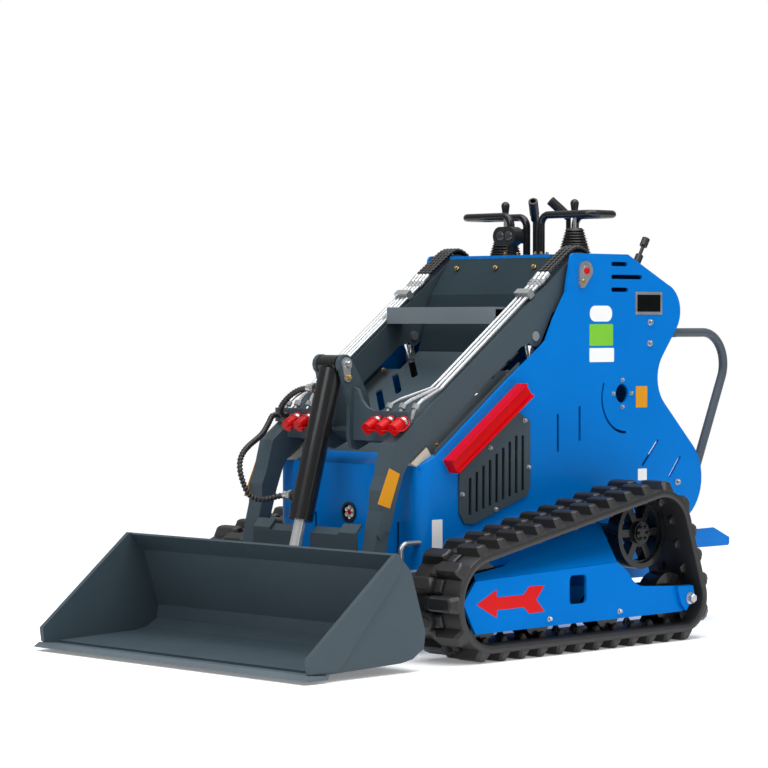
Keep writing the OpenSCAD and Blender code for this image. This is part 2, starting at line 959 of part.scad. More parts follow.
module tilt_rod() {
  color(zinc)
    along(tilt_top, tilt_turn)
      difference() {
        union() {
          rotate([0, 90, 0])
            translate([0, 0, 130])
              cylinder(r = 16, h = tilt_len - 150);
          translate([tilt_len, 0, 0])
            rotate([-90, 0, 0])
              translate([0, 0, -18])
                cylinder(r = 30, h = 36);
        }
        translate([tilt_len, 0, 0])
          rotate([-90, 0, 0])
            translate([0, 0, -50])
              cylinder(r = 13, h = 100);
      }
}

lift_dir = lift_top - lift_base;
lift_len = norm(lift_dir);
lift_turn = angle_of(lift_dir);

module lift_barrel(y) {
  translate([0, y, 0])
    along(lift_base, lift_turn)
      difference() {
        union() {
          rotate([-90, 0, 0])
            translate([0, 0, -20])
              cylinder(r = 26, h = 40);
          rotate([0, 90, 0])
            translate([0, 0, 15])
              cylinder(d = lift_d, h = 445);
        }
        rotate([-90, 0, 0])
          translate([0, 0, -50])
            cylinder(r = 14.05, h = 100);
        rotate([0, 90, 0])
          translate([0, 0, 40])
            cylinder(r = lift_d / 2 - 6, h = 405);
        rotate([0, 90, 0])
          translate([0, 0, 400])
            cylinder(r = 14.05, h = 100);
      }
}

module lift_rod(y) {
  translate([0, y, 0])
    along(lift_base, lift_turn)
      difference() {
        union() {
          rotate([0, 90, 0])
            translate([0, 0, 60])
              cylinder(r = 14, h = lift_len - 80);
          translate([lift_len, 0, 0])
            rotate([-90, 0, 0])
              translate([0, 0, -14])
                cylinder(r = 26, h = 28);
        }
        translate([lift_len, 0, 0])
          rotate([-90, 0, 0])
            translate([0, 0, -50])
              cylinder(r = 13, h = 100);
      }
}

module lift_barrel_left() {
  color(black)
    lift_barrel(arm_mid);
}

module lift_barrel_right() {
  color(black)
    lift_barrel(-arm_mid);
}

module lift_rod_left() {
  color(zinc)
    lift_rod(arm_mid);
}

module lift_rod_right() {
  color(zinc)
    lift_rod(-arm_mid);
}

// side view of the bucket shell, from the lip down the back and along the floor
shell_path = [[652, 293], [606, 249], [556, 96], [562, 56], [600, 33], [640, 26], [900, 18]];

module bucket() {
  color(slate) {
    xz(-bucket_w / 2, bucket_w)
      polygon(band(shell_path, shell_t));
    both()
      xz(bucket_w / 2 - 8, 8)
        polygon([[652, 293], [660, 294], [952, 60], [947, 22], [900, 18], [640, 26], [600, 33],
          [562, 56], [556, 96], [606, 249]]);
    both()
      xz(bucket_w / 2, 6)
        polygon([[650, 291], [660, 294], [952, 60], [947, 24], [853, 26], [642, 254]]);
  }
}

module cutting_edge() {
  color(slate)
    xz(-bucket_w / 2 - 11, bucket_w + 22)
      polygon([[889, 18], [893, 8], [955, 8], [968, 11], [950, 22], [900, 18]]);
}

// coupler plate on the back of the bucket with its ears
module hitch_plate() {
  color(slate)
    difference() {
      union() {
        xz(-hitch_half, 2 * hitch_half)
          polygon([[606, 250], [556, 96], [546, 99], [596, 253]]);
        both()
          xz(arm_in - 24, 16)
            polygon(concat(arc(bucket_pin, 34, 90, 270, 8), [[560, 110], [590, 220]]));
        both()
          xz(22, 14)
            polygon(concat(arc(rod_eye, 24, 100, 250, 8), [[556, 110], [590, 240]]));
        translate([484, -arm_in + 8, 160])
          cube([8, 2 * arm_in - 16, 152]);
        both()
          xz(130, arm_in - 8 - 130)
            polygon(band([[492, 300], [492, 318], [472, 340]], 6));
        xz(-130, 260)
          polygon(band([[492, 296], [492, 306], [472, 328]], 6));
      }
      pin(bucket_pin, 15.05, -arm_out, arm_out);
      pin(rod_eye, 12, -40, 40);
      translate([440, -24, 196])
        cube([60, 48, 160]);
    }
}

// tray the operator stands on
module step_platform() {
  color(blue)
    difference() {
      union() {
        translate([-960, -step_w / 2, 213])
          cube([285, step_w, 6]);
        both()
          xz(step_w / 2 - 6, 6)
            polygon([[-660, 213], [-962, 213], [-968, 219], [-968, 236], [-898, 267], [-660, 264]]);
        both()
          xz(186, 10)
            polygon([[-622, 222], [-622, 250], [-655, 250], [-680, 219], [-660, 213], [-640, 216]]);
      }
      pin(step_pin, 10.05, -220, 220);
    }
}

side_plate_left();
side_plate_right();
belly_frame();
nose_panel();
hood_cover();
dash_panel();
control_deck();
rear_panel();
engine_block();
vent_panels();
arm_lock_strut();
arm_rest_pads();
front_lamp();
work_lamp();
hand_loops();
drive_levers();
joysticks();
throttle_lever();
guard_rails();
tie_down_hooks();
data_plate();
chassis_pins();
track_frame_left();
track_frame_right();
track_left();
track_right();
drive_sprockets();
front_idlers();
rear_idlers();
track_rollers();
wheel_axles();
arm_left();
arm_right();
arm_cross_tube();
arm_cross_plate();
arm_pins();
steel_lines();
line_clamps();
quick_couplers();
arm_hoses();
tilt_hoses();
tilt_barrel();
tilt_rod();
lift_barrel_left();
lift_barrel_right();
lift_rod_left();
lift_rod_right();
hitch_plate();
bucket();
cutting_edge();
step_platform();
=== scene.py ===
"""Looks of a stand-on mini loader: paint, rubber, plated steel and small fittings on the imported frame."""
import math

import bmesh
import bpy
from mathutils import Matrix, Vector


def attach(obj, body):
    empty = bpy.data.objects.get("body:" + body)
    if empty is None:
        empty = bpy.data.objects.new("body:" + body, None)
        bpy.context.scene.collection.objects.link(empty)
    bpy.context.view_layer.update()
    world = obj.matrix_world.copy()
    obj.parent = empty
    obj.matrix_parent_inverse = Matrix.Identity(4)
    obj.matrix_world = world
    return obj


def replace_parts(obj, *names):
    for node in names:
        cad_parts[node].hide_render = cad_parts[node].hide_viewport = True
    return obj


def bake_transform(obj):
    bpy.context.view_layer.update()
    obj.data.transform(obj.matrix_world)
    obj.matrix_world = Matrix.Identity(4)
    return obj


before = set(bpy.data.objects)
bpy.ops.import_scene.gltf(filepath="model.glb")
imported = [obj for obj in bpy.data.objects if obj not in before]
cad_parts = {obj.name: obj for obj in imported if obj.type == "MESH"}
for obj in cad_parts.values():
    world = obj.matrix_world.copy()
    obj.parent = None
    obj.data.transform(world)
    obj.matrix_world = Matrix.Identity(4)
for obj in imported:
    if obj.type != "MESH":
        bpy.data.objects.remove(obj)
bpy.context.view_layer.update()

MM = 0.001
SIDES = (1, -1)           # left and right of the machine
PLATE_FACE = 273          # outside of a side plate from the middle, mm
FRAME_FACE = 490          # outside of a track frame from the middle, mm
ARM_FACE = 254            # outside of a lift arm from the middle, mm
VENT_FACE = 278           # outside of a vent panel from the middle, mm
LABEL_FACE = 274.5        # outside of the data plate from the middle, mm
STRUT_FACE = 303          # outside of the arm lock strut from the middle, mm
DECK_TOP = 1038           # height of the control deck, mm


# Materials

def linear(hex_colour):
    """sRGB hex to the linear colour that shaders take."""
    parts = [int(hex_colour[i:i + 2], 16) / 255 for i in (1, 3, 5)]
    return [c / 12.92 if c <= 0.04045 else ((c + 0.055) / 1.055) ** 2.4 for c in parts] + [1.0]


def node(tree, kind, sockets=None, **settings):
    """Adds a shader node; a socket takes a number, a colour or another node's output."""
    made = tree.nodes.new("ShaderNode" + kind)
    for name, value in settings.items():
        setattr(made, name, value)
    for name, value in (sockets or {}).items():
        if isinstance(value, bpy.types.NodeSocket):
            tree.links.new(value, made.inputs[name])
        else:
            made.inputs[name].default_value = value
    return made


def new_material(name, ior=None, metallic=0.0, coat=0.0, shine=0.5):
    """Material with its Principled shader and the place on the object in metres."""
    made = bpy.data.materials.new(name)
    made.use_nodes = True
    tree = made.node_tree
    shader = tree.nodes["Principled BSDF"]
    shader.inputs["Metallic"].default_value = metallic
    shader.inputs["Coat Weight"].default_value = coat
    shader.inputs["Coat Roughness"].default_value = 0.05
    shader.inputs["Specular IOR Level"].default_value = shine
    if ior:
        shader.inputs["IOR"].default_value = ior
    place = node(tree, "TexCoord").outputs["Object"]
    return made, tree, shader, place


def ramp(tree, value, low, high):
    """Two colours picked by a value from 0 to 1."""
    made = node(tree, "ValToRGB", {"Fac": value})
    made.color_ramp.elements[0].color = linear(low)
    made.color_ramp.elements[1].color = linear(high)
    return made.outputs["Color"]


def vary_roughness(tree, shader, value, low, high):
    """Roughness that follows a value from 0 to 1."""
    rough = node(tree, "MapRange", {"Value": value, "To Min": low, "To Max": high})
    tree.links.new(rough.outputs["Result"], shader.inputs["Roughness"])


def fine_bump(tree, shader, place, grain_mm, detail, strength, depth):
    """Fine bumps with a grain size in mm and a depth in metres."""
    grain = node(tree, "TexNoise", {"Vector": place, "Scale": 1 / (grain_mm * MM), "Detail": detail})
    bump = node(tree, "Bump", {"Height": grain.outputs["Fac"], "Strength": strength, "Distance": depth})
    tree.links.new(bump.outputs["Normal"], shader.inputs["Normal"])


def sprayed_enamel(name, low, high, roughness, peel_mm, peel, coat, shine=0.3):
    """Enamel, powder coat or film: an even colour, faint orange peel and more or less gloss."""
    made, tree, shader, place = new_material(name, ior=1.5, coat=coat, shine=shine)
    cloud = node(tree, "TexNoise", {"Vector": place, "Scale": 6.0, "Detail": 3.0})
    tree.links.new(ramp(tree, cloud.outputs["Fac"], low, high), shader.inputs["Base Color"])
    smear = node(tree, "TexNoise", {"Vector": place, "Scale": 18.0, "Detail": 4.0})
    vary_roughness(tree, shader, smear.outputs["Fac"], roughness * 0.75, roughness * 1.3)
    fine_bump(tree, shader, place, peel_mm, 2.0, peel, 0.0005)
    return made


def plated_steel(name, low, high, roughness, metallic=1.0):
    """Zinc or chrome on drawn steel: bright, slightly cloudy metal."""
    made, tree, shader, place = new_material(name, metallic=metallic)
    cloud = node(tree, "TexNoise", {"Vector": place, "Scale": 25.0, "Detail": 2.0})
    tree.links.new(ramp(tree, cloud.outputs["Fac"], low, high), shader.inputs["Base Color"])
    vary_roughness(tree, shader, cloud.outputs["Fac"], roughness * 0.7, roughness * 1.4)
    return made


def moulded_polymer(name, low, high, roughness, grain_mm, grain, shine=0.5):
    """Moulded rubber or plastic, or raw cast iron: matt, with a fine grain and a little dust."""
    made, tree, shader, place = new_material(name, ior=1.5, shine=shine)
    dust = node(tree, "TexNoise", {"Vector": place, "Scale": 14.0, "Detail": 6.0, "Roughness": 0.65})
    tree.links.new(ramp(tree, dust.outputs["Fac"], low, high), shader.inputs["Base Color"])
    vary_roughness(tree, shader, dust.outputs["Fac"], roughness * 0.85, roughness * 1.15)
    fine_bump(tree, shader, place, grain_mm, 3.0, grain, 0.0008)
    return made


# Name, two colours, roughness, size of the peel in mm, its strength, coat and shine
blue_enamel = sprayed_enamel("blue_enamel_sprayed", "#006cc0", "#0075cc", 0.20, 2.5, 0.04, 0.04, 0.10)
# Track frames: a darker, duller copy of the blue enamel, painted shade that holds back the side lamp's light on the
# frames
frame_shaded_enamel = sprayed_enamel("blue_enamel_painted_shade_on_track_frames", "#0069bc", "#0072c8", 0.30, 2.5, 0.04, 0.0, 0.02)
slate_powder = sprayed_enamel("slate_powder_coat", "#37444c", "#3f4d55", 0.42, 1.6, 0.25, 0.0, 0.25)
# Dash: a darker, duller copy of the slate powder coat, painted shade on the dash
dash_shaded_powder = sprayed_enamel("slate_powder_coat_painted_shade_on_dash", "#243036", "#2b383f", 0.50, 1.6, 0.25, 0.0, 0.05)
# Arm cross tube: a lighter copy of the slate powder coat, a painted sheen over the whole tube
tube_sheen_powder = sprayed_enamel("light_grey_powder_coat_painted_sheen", "#636d74", "#6e787f", 0.36, 1.6, 0.2, 0.0, 0.35)
# Cutting edge: a lighter copy of the slate powder coat, a painted highlight along the bucket's lip
edge_highlight_powder = sprayed_enamel("powder_coat_painted_highlight_on_edge", "#49555d", "#57636b", 0.38, 1.6, 0.25, 0.0, 0.3)
rail_powder = sprayed_enamel("grey_powder_coat", "#434c53", "#4b545c", 0.40, 1.6, 0.25, 0.0, 0.25)
black_enamel = sprayed_enamel("black_enamel_sprayed", "#101112", "#17181a", 0.26, 2.0, 0.08, 0.2)
red_enamel = sprayed_enamel("red_enamel_sprayed", "#c2020a", "#ce040f", 0.22, 2.0, 0.05, 0.1, 0.15)
red_vinyl = sprayed_enamel("red_vinyl_film", "#c4080c", "#cc0c10", 0.35, 1.0, 0.04, 0.0, 0.12)
white_vinyl = sprayed_enamel("white_vinyl_film", "#e6e8e8", "#f0f1f1", 0.35, 1.0, 0.04, 0.0, 0.12)
green_vinyl = sprayed_enamel("green_vinyl_film", "#72b832", "#7cc43e", 0.35, 1.0, 0.04, 0.0, 0.12)
yellow_vinyl = sprayed_enamel("yellow_vinyl_film", "#d08c18", "#d89624", 0.35, 1.0, 0.04, 0.0, 0.12)
# Name, two colours, roughness, size of the grain in mm, its strength and shine
track_rubber = moulded_polymer("track_rubber_moulded", "#141415", "#1e1e1f", 0.46, 3.0, 0.25)
hose_rubber = moulded_polymer("hose_rubber_wrapped", "#131314", "#1f1f20", 0.38, 2.0, 0.15)
black_nylon = moulded_polymer("black_nylon_moulded", "#101011", "#19191a", 0.40, 1.5, 0.12)
red_rubber = moulded_polymer("red_rubber_moulded", "#b4040c", "#c2080f", 0.28, 1.5, 0.06, 0.15)
beige_nylon = moulded_polymer("beige_nylon_cast", "#b5ac98", "#c9c0ac", 0.5, 2.0, 0.1)
cast_iron = moulded_polymer("cast_iron_raw", "#1d1d1d", "#2b2a29", 0.7, 3.0, 0.3)
lamp_lens = moulded_polymer("lamp_lens_polycarbonate", "#b6bcbf", "#cfd4d7", 0.12, 4.0, 0.3)
smoked_lens = moulded_polymer("smoked_lens_polycarbonate", "#2b2e30", "#383c3e", 0.10, 4.0, 0.2)
# Name, two colours, roughness and how metallic
zinc_steel = plated_steel("zinc_plated_steel", "#a9acae", "#b9bcbe", 0.28, 0.8)
gold_zinc = plated_steel("yellow_zinc_plated_steel", "#b09450", "#cfb678", 0.28, 0.85)
chrome_steel = plated_steel("hard_chrome_steel", "#d6d9db", "#e2e5e7", 0.10, 0.75)
black_plate = plated_steel("black_anodised_aluminium", "#17191a", "#1d2021", 0.35)

FINISH = {
    blue_enamel: "side_plate_left side_plate_right belly_frame nose_panel control_deck rear_panel step_platform",
    frame_shaded_enamel: "track_frame_left track_frame_right",
    dash_shaded_powder: "dash_panel",
    tube_sheen_powder: "arm_cross_tube",
    slate_powder: "hood_cover vent_panels arm_left arm_right arm_cross_plate hitch_plate bucket",
    edge_highlight_powder: "cutting_edge",
    rail_powder: "guard_rails",
    black_enamel: "drive_sprockets front_idlers rear_idlers track_rollers tilt_barrel lift_barrel_left"
                  " lift_barrel_right hand_loops drive_levers wheel_axles",
    red_enamel: "arm_lock_strut",
    red_rubber: "quick_couplers",
    track_rubber: "track_left track_right",
    hose_rubber: "arm_hoses tilt_hoses",
    zinc_steel: "line_clamps tie_down_hooks data_plate chassis_pins arm_pins steel_lines",
    chrome_steel: "tilt_rod lift_rod_left lift_rod_right",
    black_nylon: "front_lamp work_lamp joysticks throttle_lever",
    beige_nylon: "arm_rest_pads",
    cast_iron: "engine_block",
}
for finish, names in FINISH.items():
    for name in names.split():
        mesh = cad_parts[name].data
        mesh.materials.clear()
        mesh.materials.append(finish)


def round_edges(names, width_mm, segments):
    """Small rounds on the edges of CAD nodes, so that they catch the light."""
    for name in names.split():
        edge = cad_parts[name].modifiers.new("round_edges", "BEVEL")
        edge.width = width_mm * MM
        edge.segments = segments
        edge.limit_method = "ANGLE"
        edge.angle_limit = math.radians(35)


round_edges("arm_lock_strut", 4.0, 3)
round_edges("quick_couplers track_frame_left track_frame_right step_platform", 2.0, 2)
round_edges("bucket hitch_plate arm_left arm_right arm_cross_plate arm_cross_tube side_plate_left side_plate_right",
            1.0, 2)


# Studio

LAMPS = (      # name, place, aim, size and power
    ("top_lamp", (0.5, 1.0, 5.5), (0, 0, 0), 5.0, 300),
    ("key_lamp", (4.0, 1.0, 3.5), (0.2, 0, 0.4), 2.5, 70),
    ("side_lamp", (-1.5, 5.5, 2.6), (-0.2, 0, 0.5), 4.0, 45))
CAMERA_PLACE = (5.6289, 5.5612, 0.8562)
CAMERA_YAW, CAMERA_PITCH = math.radians(225.6973), math.radians(-1.2229)
LENS_MM, SENSOR_MM = 137.4, 36
ROOM_LOW, ROOM_HIGH = 0.22, 0.75      # light of the room at the horizon and overhead
FLOOR_R, FLOOR_GLOW = 5.0, 0.2


def studio():
    """White floor, soft lamps and the photograph's camera."""
    floor = bpy.data.objects.new("floor", bpy.data.meshes.new("floor"))
    bpy.context.collection.objects.link(floor)
    disc = bmesh.new()
    bmesh.ops.create_circle(disc, cap_ends=True, segments=96, radius=FLOOR_R)
    disc.to_mesh(floor.data)
    disc.free()
    made, tree, shader, place = new_material("studio_floor_paper")
    shade = node(tree, "TexNoise", {"Vector": place, "Scale": 0.4})
    tree.links.new(ramp(tree, shade.outputs["Fac"], "#fafafa", "#fdfdfd"), shader.inputs["Base Color"])
    shader.inputs["Roughness"].default_value = 0.9
    shader.inputs["Emission Color"].default_value = linear("#ffffff")
    shader.inputs["Emission Strength"].default_value = FLOOR_GLOW
    floor.data.materials.append(made)

    world = bpy.data.worlds.new("studio_room")
    bpy.context.scene.world = world
    world.use_nodes = True
    tree = world.node_tree
    tree.nodes.clear()
    up = node(tree, "SeparateXYZ", {"Vector": node(tree, "TexCoord").outputs["Generated"]}).outputs["Z"]
    glow = node(tree, "MapRange", {"Value": up, "From Min": 0.0, "From Max": 1.0, "To Min": ROOM_LOW,
                                   "To Max": ROOM_HIGH})
    room = node(tree, "Background", {"Color": linear("#ffffff"), "Strength": glow.outputs["Result"]})
    backdrop = node(tree, "Background", {"Color": linear("#ffffff"), "Strength": 1.0})
    both = node(tree, "MixShader", {"Fac": node(tree, "LightPath").outputs["Is Camera Ray"]})
    tree.links.new(room.outputs["Background"], both.inputs[1])
    tree.links.new(backdrop.outputs["Background"], both.inputs[2])
    node(tree, "OutputWorld", {"Surface": both.outputs["Shader"]})

    for name, place, aim, size, power in LAMPS:
        lamp = bpy.data.objects.new(name, bpy.data.lights.new(name, "AREA"))
        lamp.data.size = size
        lamp.data.energy = power
        lamp.location = place
        lamp.rotation_euler = (Vector(aim) - Vector(place)).to_track_quat("-Z", "Y").to_euler()
        bpy.context.collection.objects.link(lamp)

    camera = bpy.data.objects.new("camera", bpy.data.cameras.new("camera"))
    camera.data.lens = LENS_MM
    camera.data.sensor_width = SENSOR_MM
    level = math.cos(CAMERA_PITCH)
    look = Vector((math.cos(CAMERA_YAW) * level, math.sin(CAMERA_YAW) * level, math.sin(CAMERA_PITCH)))
    camera.location = CAMERA_PLACE
    camera.rotation_euler = look.to_track_quat("-Z", "Y").to_euler()
    bpy.context.collection.objects.link(camera)
    bpy.context.scene.camera = camera
    bpy.context.scene.view_settings.view_transform = "Standard"


studio()


# Building pieces

def piece(name, mesh, finish, body=None, sharp_deg=35):
    """Object from a bmesh, smooth except at sharp edges, riding on a body."""
    bmesh.ops.recalc_face_normals(mesh, faces=mesh.faces)
    data = bpy.data.meshes.new(name)
    mesh.to_mesh(data)
    mesh.free()
    data.materials.append(finish)
    data.shade_smooth()
    data.set_sharp_from_angle(angle=math.radians(sharp_deg))
    made = bpy.data.objects.new(name, data)
    bpy.context.collection.objects.link(made)
    if body:
        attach(made, body)
    return made


def spread(points, step):
    """Even points on the smooth curve through the given points."""
    steps, fine = 24, []
    for i in range(len(points) - 1):
        a, b = points[max(i - 1, 0)], points[i]
        c, d = points[i + 1], points[min(i + 2, len(points) - 1)]
        for k in range(steps):
            t = k / steps
            fine.append(0.5 * (2 * b + (c - a) * t + (2 * a - 5 * b + 4 * c - d) * t * t
                               + (3 * b - a - 3 * c + d) * t * t * t))
    fine.append(points[-1])
    total = sum((q - p).length for p, q in zip(fine, fine[1:]))
    count = max(2, round(total / step))
    out, walked, want = [fine[0]], 0.0, total / count
    for p, q in zip(fine, fine[1:]):
        part = (q - p).length
        while part and walked + part >= want * len(out) - 1e-9 and len(out) <= count:
            out.append(p + (q - p) * ((want * len(out) - walked) / part))
        walked += part
    return out


def add_hose(mesh, line, radius, rib, rib_pitch, sides):
    """Round hose along a line, with a wound rib standing proud of it."""
    ahead = [(line[min(i + 1, len(line) - 1)] - line[max(i - 1, 0)]).normalized() for i in range(len(line))]
    across = ahead[0].orthogonal().normalized()
    rings, walked = [], 0.0
    for i, spot in enumerate(line):
        across = (across - ahead[i] * across.dot(ahead[i])).normalized()
        over = ahead[i].cross(across)
        walked += (spot - line[i - 1]).length if i else 0.0
        ring = []
        for k in range(sides):
            angle = 2 * math.pi * k / sides
            wave = 0.5 + 0.5 * math.cos(2 * math.pi * walked / rib_pitch - angle)
            lift = rib * wave ** 0.7 if rib else 0.0
            out = across * math.cos(angle) + over * math.sin(angle)
            ring.append(mesh.verts.new(spot + out * (radius + lift)))
        rings.append(ring)
    for one, two in zip(rings, rings[1:]):
        for k in range(sides):
            j = (k + 1) % sides
            mesh.faces.new((one[k], one[j], two[j], two[k]))
    mesh.faces.new(rings[0])
    mesh.faces.new(rings[-1])


def standing(place, axis):
    """Matrix that stands a piece on a place, its Z along the axis."""
    turn = Vector((0, 0, 1)).rotation_difference(Vector(axis).normalized())
    return Matrix.Translation(Vector(place) * MM) @ turn.to_matrix().to_4x4()


def add_turned(mesh, place, axis, profile, segments=24):
    """Turned piece from rows of height and radius in mm, closed at both ends."""
    stand = standing(place, axis)
    rings = []
    for height, radius in profile:
        ring = []
        for k in range(segments):
            angle = 2 * math.pi * (k + 0.5) / segments
            spot = Vector((radius * MM * math.cos(angle), radius * MM * math.sin(angle), height * MM))
            ring.append(mesh.verts.new(stand @ spot))
        rings.append(ring)
    for one, two in zip(rings, rings[1:]):
        for k in range(segments):
            j = (k + 1) % segments
            mesh.faces.new((one[k], one[j], two[j], two[k]))
    mesh.faces.new(rings[0])
    mesh.faces.new(rings[-1])


def add_bolt(mesh, place, axis, across):
    """Washer and hexagon head, across flats in mm."""
    washer_t, washer, hexagon = 2.0, 0.74 * across, across / math.sqrt(3)
    add_turned(mesh, place, axis, [(0, washer), (1.6, washer), (washer_t, 0.68 * across)])
    add_turned(mesh, place, axis, [(washer_t, hexagon), (washer_t + 0.5 * across, hexagon),
                                   (washer_t + 0.62 * across, 0.82 * hexagon)], 6)


def add_patch(mesh, outline, side, face, thick):
    """Flat piece on a face that looks sideways, outline in forward and up, mm."""
    low = [mesh.verts.new((x * MM, side * face * MM, z * MM)) for x, z in outline]
    top = [mesh.verts.new((x * MM, side * (face + thick) * MM, z * MM)) for x, z in outline]
    mesh.faces.new(low)
    mesh.faces.new(top)
    for k in range(len(outline)):
        j = (k + 1) % len(outline)
        mesh.faces.new((low[k], low[j], top[j], top[k]))


def rounded(x0, x1, z0, z1, r):
    """Outline of a rectangle with round corners."""
    corners = ((x1 - r, z1 - r, 0), (x0 + r, z1 - r, 90), (x0 + r, z0 + r, 180), (x1 - r, z0 + r, 270))
    return [(cx + r * math.cos(math.radians(a + t)), cz + r * math.sin(math.radians(a + t)))
            for cx, cz, a in corners for t in range(0, 91, 15)]


def circle(x, z, radius, first_deg, count):
    """Points evenly round a circle."""
    turns = [math.radians(first_deg + 360 * k / count) for k in range(count)]
    return [(x + radius * math.cos(turn), z + radius * math.sin(turn)) for turn in turns]


# Tracks: a moulded belt with rounded edges, staggered lugs, low ties and two rows of guide teeth

WHEELS = ((-435, 113, 68), (313, 150, 105), (-343, 290, 97))     # rear, front, drive: centre and radius to the belt
LINKS = 31
TRACK_IN, TRACK_MID, TRACK_OUT = 331, 421, 511      # edges and middle of the belt, sideways
BELT_T = 22
GUIDES = ((374, 389), (453, 468))                   # sideways limits of the guide teeth inside the belt
BELT_STEPS = 8                                      # rings of the belt's skin on one link


def leave(a, b):
    """Angle of the outward normal of the straight run from one wheel to the next."""
    along, up = b[0] - a[0], b[1] - a[1]
    return math.atan2(up, along) - math.acos((a[2] - b[2]) / math.hypot(along, up))


def on_wheel(wheel, h, angle):
    """Point above a wheel's rim by h."""
    return wheel[0] + (wheel[2] + h) * math.cos(angle), wheel[1] + (wheel[2] + h) * math.sin(angle)


def belt_parts():
    """For each wheel: the angles where its arc starts and ends, the arc's length and the straight run's."""
    parts = []
    for i in range(3):
        wheel, ahead = WHEELS[i], WHEELS[(i + 1) % 3]
        start, end = leave(WHEELS[i - 1], wheel), leave(wheel, ahead)
        while start >= end:
            start -= 2 * math.pi
        run = math.dist(on_wheel(wheel, 0, end), on_wheel(ahead, 0, end))
        parts.append((start, end, (end - start) * wheel[2], run))
    return parts


BELT = belt_parts()
LOOP = sum(arc + run for start, end, arc, run in BELT)


def on_belt(share, h):
    """Point in forward and up, at a number of links along the belt's inside and moved out by h."""
    walked = share * LOOP / LINKS % LOOP
    for i, (start, end, arc, run) in enumerate(BELT):
        if walked <= arc:
            return on_wheel(WHEELS[i], h, start + walked / WHEELS[i][2])
        if walked <= arc + run:
            k = (walked - arc) / run
            one, two = on_wheel(WHEELS[i], h, end), on_wheel(WHEELS[(i + 1) % 3], h, end)
            return one[0] + (two[0] - one[0]) * k, one[1] + (two[1] - one[1]) * k
        walked -= arc + run
    return on_wheel(WHEELS[0], h, BELT[0][0])


def belt_vert(mesh, side, share, y, h):
    """New corner at a number of links along the belt, sideways and moved out by h."""
    x, z = on_belt(share, h)
    return mesh.verts.new((x * MM, side * y * MM, z * MM))


def skin(mesh, rings, closed):
    """Faces between rings of points, closed into a loop or capped at both ends."""
    count = len(rings[0])
    for one, two in zip(rings, rings[1:] + rings[:1] if closed else rings[1:]):
        for k in range(count):
            mesh.faces.new((one[k], one[(k + 1) % count], two[(k + 1) % count], two[k]))
    if not closed:
        mesh.faces.new(rings[0])
        mesh.faces.new(rings[-1])


def add_tooth(mesh, side, rows):
    """Block on the belt from rows of height, first and last link share, two sideways limits and corner cut."""
    rings = []
    for h, s0, s1, y0, y1, cut in rows:
        c = cut / (LOOP / LINKS)
        corners = ((s0 + c, y0), (s1 - c, y0), (s1, y0 + cut), (s1, y1 - cut), (s1 - c, y1), (s0 + c, y1),
                   (s0, y1 - cut), (s0, y0 + cut))
        rings.append([belt_vert(mesh, side, s, y, h) for s, y in corners])
    skin(mesh, rings, False)


BELT_EDGE = ((339, 0), (333, 2), (331, 8), (331, 14), (333, 20), (339, 22), (503, 22), (509, 20), (511, 14), (511, 8),
             (509, 2), (503, 0))      # sideways and outward round the belt's section
for side, name in ((1, "track_left"), (-1, "track_right")):
    mesh = bmesh.new()
    skin(mesh, [[belt_vert(mesh, side, k / BELT_STEPS, y, h) for y, h in BELT_EDGE]
                for k in range(BELT_STEPS * LINKS)], True)
    for k in range(LINKS):
        for s, y0, y1 in ((k, TRACK_IN, TRACK_MID + 5), (k + 0.5, TRACK_MID - 5, TRACK_OUT)):
            inner, outer = (5, 12) if s == k else (12, 5)      # a lug's end slopes more at the belt's edge
            add_tooth(mesh, side, [
                (BELT_T - 4, s - 0.02, s + 0.54, y0 + 1, y1 - 1, 5),
                (BELT_T + 3, s + 0.02, s + 0.50, y0 + 1, y1 - 1, 6),
                (BELT_T + 15, s + 0.06, s + 0.46, y0 + 13 - inner, y1 - 13 + outer, 7),
                (BELT_T + 20, s + 0.08, s + 0.44, y0 + 15 - inner, y1 - 15 + outer, 7),
                (BELT_T + 23, s + 0.13, s + 0.39, y0 + 20 - inner, y1 - 20 + outer, 6)])
            tie = (y1 - 34, y1 - 4) if s == k else (y0 + 4, y0 + 34)
            add_tooth(mesh, side, [
                (BELT_T - 4, s + 0.50, s + 1.0, *tie, 3), (BELT_T + 6, s + 0.54, s + 0.96, *tie, 3),
                (BELT_T + 9, s + 0.60, s + 0.90, tie[0] + 4, tie[1] - 4, 2)])
        for y0, y1 in GUIDES:
            add_tooth(mesh, side, [
                (3, k, k + 0.38, y0, y1, 2), (-5, k + 0.03, k + 0.35, y0 + 1, y1 - 1, 3),
                (-12, k + 0.07, k + 0.31, y0 + 2, y1 - 2, 4), (-15, k + 0.11, k + 0.27, y0 + 4, y1 - 4, 2)])
    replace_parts(piece(name + "_moulded", mesh, track_rubber, "chassis", sharp_deg=25), name)


# Hoses of the tilt cylinder, on the routes of the solids

HOSE_CORE, HOSE_RIB, HOSE_PITCH = 5.4, 2.8, 10      # hose under its wrap, height and pitch of the wrap
LOW_HOSE = [(490, -52, 405), (490, -70, 405), (496, -92, 401), (508, -112, 395), (522, -130, 392), (538, -143, 397),
            (553, -150, 412), (564, -154, 437), (570, -159, 468), (564, -165, 494), (546, -172, 515), (516, -182, 532),
            (482, -193, 546), (448, -206, 561), (415, -222, 583), (386, -235, 605), (362, -235, 605)]
HIGH_HOSE = [(407, -52, 682), (407, -68, 682), (408, -100, 678), (409, -130, 667), (408, -158, 650),
             (403, -182, 632), (392, -198, 617), (377, -205, 608), (362, -205, 608)]

for name, route in (("tilt_hose_low", LOW_HOSE), ("tilt_hose_high", HIGH_HOSE)):
    line = spread([Vector(p) * MM for p in route], 1.4 * MM)
    tube = bmesh.new()
    add_hose(tube, line, HOSE_CORE * MM, HOSE_RIB * MM, HOSE_PITCH * MM, 16)
    hose = piece(name, tube, hose_rubber, sharp_deg=80)
    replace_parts(hose, "tilt_hoses")
    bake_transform(hose)


# Hoses over the arm pivots, wrapped like the tilt hoses

